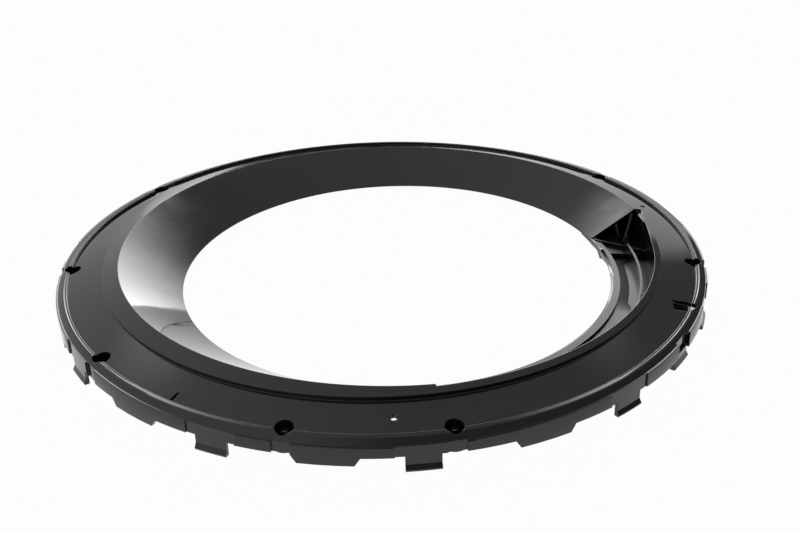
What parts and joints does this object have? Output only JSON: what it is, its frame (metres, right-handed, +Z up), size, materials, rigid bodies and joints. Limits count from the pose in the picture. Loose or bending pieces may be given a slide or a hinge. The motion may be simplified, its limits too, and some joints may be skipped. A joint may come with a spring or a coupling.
{
  "type": "washer door spacer ring",
  "caption": "Gloss black moulded ring for a front-load washer door: sloping flange, inner funnel, handle pocket, and a skirt with clip tabs and screw bosses.",
  "frame": {"origin": "on the flange axis, in the plane of the clip feet that the ring rests on", "axes": "+Z up along the flange axis, out of the flange face; +X towards the handle side; +Y completes the right hand"},
  "size_m": [0.4637, 0.4633, 0.0336],
  "materials": {
    "gloss_black_abs": "high gloss as moulded"
  },
  "bodies": {
    "root": {"spacer_ring": "gloss_black_abs"}
  },
  "joints": []
}
